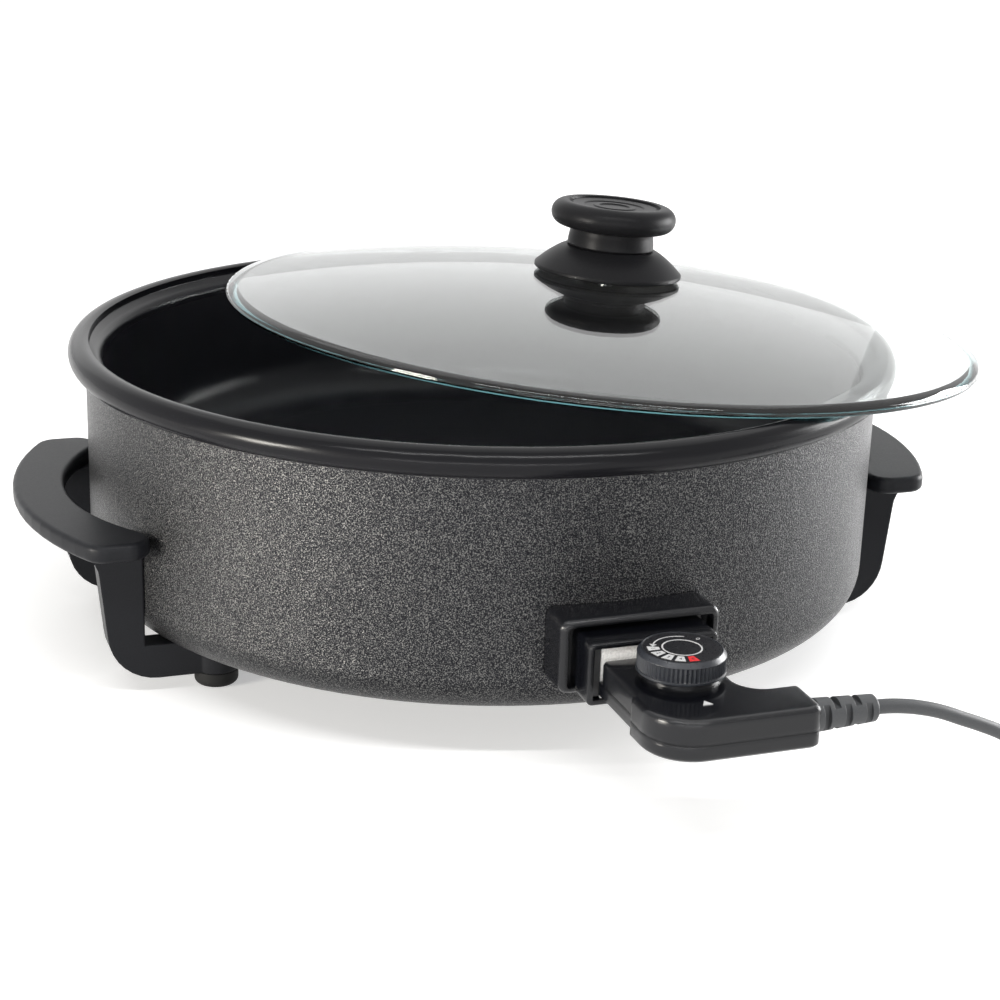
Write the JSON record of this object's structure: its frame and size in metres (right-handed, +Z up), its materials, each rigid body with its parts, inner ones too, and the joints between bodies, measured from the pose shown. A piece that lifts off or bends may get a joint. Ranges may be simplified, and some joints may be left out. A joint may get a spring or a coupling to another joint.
{
  "type": "electric skillet",
  "caption": "Round electric skillet with a coated bowl in a painted shell, bracket handles on feet, a loose domed glass lid and a plug-in heat controller on a mains cord.",
  "frame": {"origin": "on the table, under the middle of the round bowl", "axes": "+Z up, -Y towards the socket and its controller, +X towards the handle on the side the lid is pushed to"},
  "size_m": [0.5353, 0.5145, 0.2159],
  "materials": {
    "nonstick": "satin black non-stick coating, charcoal on the rolled rim",
    "hammertone": "dark grey speckled hammertone paint",
    "steel": "plain bright steel",
    "aluminium": "mill finish",
    "screw_steel": "plated steel",
    "handle_black": "satin black phenolic",
    "foot_rubber": "matte black rubber",
    "gloss_black": "gloss black moulding",
    "insulator": "pale heat-proof insulator",
    "lid_glass": "clear tempered glass with a polished green-tinted edge",
    "gasket_grey": "grey silicone",
    "knob_black": "satin black phenolic",
    "block_black": "matte black moulding",
    "brass": "plain brass",
    "dial_black": "satin black, fluted",
    "dial_print": "satin black with white and red heat marks",
    "cord_black": "matte dark grey flexible cover"
  },
  "bodies": {
    "base": {"bowl": "nonstick", "outer_shell": "hammertone", "heating_element": "steel", "heat_shield": "aluminium", "shield_screws": "screw_steel", "handle_left": "handle_black", "handle_right": "handle_black", "foot_front_left": "foot_rubber", "foot_front_right": "foot_rubber", "foot_rear_left": "foot_rubber", "foot_rear_right": "foot_rubber", "stay_screws": "screw_steel", "socket_shroud": "gloss_black", "shroud_screws": "screw_steel", "terminal_insulator": "insulator", "terminal_pins": "steel", "probe_sleeve": "aluminium"},
    "lid": {"lid_glass": "lid_glass", "knob_gasket": "gasket_grey", "knob_bell": "knob_black", "knob_cap": "knob_black", "knob_washer": "screw_steel", "knob_screw": "screw_steel"},
    "controller": {"controller_top": "gloss_black", "controller_bottom": "gloss_black", "housing_screws": "screw_steel", "neck_plate": "insulator", "contact_block": "block_black", "contact_sleeves": "brass", "probe_rod": "steel", "thermostat_body": "insulator", "bimetal_strip": "brass", "strain_relief": "cord_black", "cord": "cord_black", "cord_coil": "cord_black", "cord_tail": "cord_black", "plug_body": "cord_black", "plug_pins": "steel"},
    "dial": {"dial": "dial_black", "dial_plate": "dial_print", "dial_shaft": "steel"}
  },
  "joints": [
    {"name": "lid_lift", "type": "slide", "parent": "base", "child": "lid", "axis": [0, 0, 1], "range_m": [0, 0.15]},
    {"name": "controller_pull", "type": "slide", "parent": "base", "child": "controller", "axis": [0, -1, 0], "range_m": [0, 0.1]},
    {"name": "dial_turn", "type": "hinge", "parent": "controller", "child": "dial", "pos_m": [0, -0.2595, 0.07], "axis": [0, 0, 1], "range_deg": [0, 233]}
  ]
}
